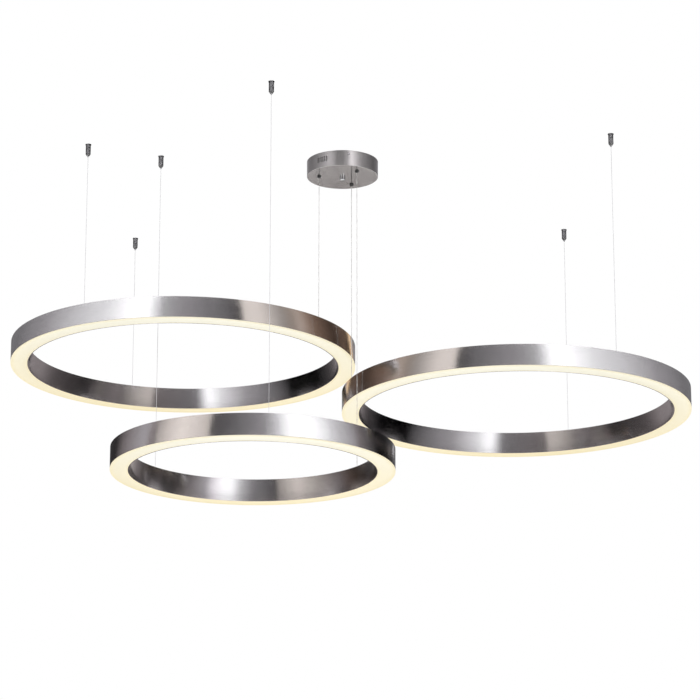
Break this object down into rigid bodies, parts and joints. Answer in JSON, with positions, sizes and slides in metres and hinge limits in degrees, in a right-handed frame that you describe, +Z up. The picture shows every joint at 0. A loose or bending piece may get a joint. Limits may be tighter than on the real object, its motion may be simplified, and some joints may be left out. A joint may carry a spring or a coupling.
{
  "type": "led ring chandelier",
  "caption": "LED ring chandelier: brushed metal rings with glowing undersides, each hung from ceiling grippers and a cable from a round canopy, adjustable in height.",
  "frame": {"origin": "centre of the ceiling bracket's upper face, on the ceiling plane", "axes": "+X to the right and +Y away from the viewer, +Z up towards the ceiling"},
  "size_m": [1.9612, 1.4161, 0.9886],
  "materials": {
    "brushed_band": "brushed round the ring, satin nickel colour",
    "brushed_canopy": "spun floor, wall brushed round",
    "satin_cover": "satin",
    "zinc_plate": "zinc plated sheet",
    "bright_screws": "bright nickel",
    "chrome_nut": "polished",
    "gunmetal": "dark nickel, satin",
    "driver_case": "moulded",
    "terminal_plastic": "moulded",
    "led_board": "white solder mask",
    "opal_diffuser": "opal, lit warm white",
    "steel_wire": "stranded",
    "clear_cable": "clear jacket over tinned cores"
  },
  "bodies": {
    "root": {"ceiling_bracket": "zinc_plate", "canopy_shell": "brushed_canopy", "canopy_side_screws": "bright_screws", "centre_stud": "zinc_plate", "centre_cap_nut": "chrome_nut", "led_drivers": "driver_case", "terminal_block": "terminal_plastic", "cable_glands": "gunmetal", "gland_nuts": "zinc_plate", "gland_grub_screws": "bright_screws", "anchor_bases": "gunmetal", "anchor_sleeves": "gunmetal", "gripper_noses": "gunmetal", "ring_1_suspension_wires": "steel_wire", "ring_1_power_cable": "clear_cable", "ring_2_suspension_wires": "steel_wire", "ring_2_power_cable": "clear_cable", "ring_3_suspension_wires": "steel_wire", "ring_3_power_cable": "clear_cable"},
    "ring_1": {"ring_1_outer_band": "brushed_band", "ring_1_inner_band": "brushed_band", "ring_1_top_cover": "satin_cover", "ring_1_led_plate": "satin_cover", "ring_1_led_boards": "led_board", "ring_1_diffuser": "opal_diffuser", "ring_1_spacers": "satin_cover", "ring_1_cover_screws": "bright_screws", "ring_1_wire_fittings": "bright_screws"},
    "ring_1_release_plunger_a": {"ring_1_release_plunger_a": "chrome_nut"},
    "ring_1_release_plunger_b": {"ring_1_release_plunger_b": "chrome_nut"},
    "ring_2": {"ring_2_outer_band": "brushed_band", "ring_2_inner_band": "brushed_band", "ring_2_top_cover": "satin_cover", "ring_2_led_plate": "satin_cover", "ring_2_led_boards": "led_board", "ring_2_diffuser": "opal_diffuser", "ring_2_spacers": "satin_cover", "ring_2_cover_screws": "bright_screws", "ring_2_wire_fittings": "bright_screws"},
    "ring_2_release_plunger_a": {"ring_2_release_plunger_a": "chrome_nut"},
    "ring_2_release_plunger_b": {"ring_2_release_plunger_b": "chrome_nut"},
    "ring_3": {"ring_3_outer_band": "brushed_band", "ring_3_inner_band": "brushed_band", "ring_3_top_cover": "satin_cover", "ring_3_led_plate": "satin_cover", "ring_3_led_boards": "led_board", "ring_3_diffuser": "opal_diffuser", "ring_3_spacers": "satin_cover", "ring_3_cover_screws": "bright_screws", "ring_3_wire_fittings": "bright_screws"},
    "ring_3_release_plunger_a": {"ring_3_release_plunger_a": "chrome_nut"},
    "ring_3_release_plunger_b": {"ring_3_release_plunger_b": "chrome_nut"}
  },
  "joints": [
    {"name": "ring_1_height", "type": "slide", "parent": "root", "child": "ring_1", "axis": [0, 0, 1], "range_m": [0, 0.38], "deforming": ["ring_1_suspension_wires", "ring_1_power_cable"]},
    {"name": "ring_1_release_a", "type": "slide", "parent": "root", "child": "ring_1_release_plunger_a", "axis": [0, 0, 1], "range_m": [0, 0.0025], "stiffness_N_per_m": 400, "springref_m": -0.001},
    {"name": "ring_1_release_b", "type": "slide", "parent": "root", "child": "ring_1_release_plunger_b", "axis": [0, 0, 1], "range_m": [0, 0.0025], "stiffness_N_per_m": 400, "springref_m": -0.001},
    {"name": "ring_2_height", "type": "slide", "parent": "root", "child": "ring_2", "axis": [0, 0, 1], "range_m": [0, 0.085], "deforming": ["ring_2_suspension_wires", "ring_2_power_cable"]},
    {"name": "ring_2_release_a", "type": "slide", "parent": "root", "child": "ring_2_release_plunger_a", "axis": [0, 0, 1], "range_m": [0, 0.0025], "stiffness_N_per_m": 400, "springref_m": -0.001},
    {"name": "ring_2_release_b", "type": "slide", "parent": "root", "child": "ring_2_release_plunger_b", "axis": [0, 0, 1], "range_m": [0, 0.0025], "stiffness_N_per_m": 400, "springref_m": -0.001},
    {"name": "ring_3_height", "type": "slide", "parent": "root", "child": "ring_3", "axis": [0, 0, 1], "range_m": [0, 0.2], "deforming": ["ring_3_suspension_wires", "ring_3_power_cable"]},
    {"name": "ring_3_release_a", "type": "slide", "parent": "root", "child": "ring_3_release_plunger_a", "axis": [0, 0, 1], "range_m": [0, 0.0025], "stiffness_N_per_m": 400, "springref_m": -0.001},
    {"name": "ring_3_release_b", "type": "slide", "parent": "root", "child": "ring_3_release_plunger_b", "axis": [0, 0, 1], "range_m": [0, 0.0025], "stiffness_N_per_m": 400, "springref_m": -0.001}
  ]
}
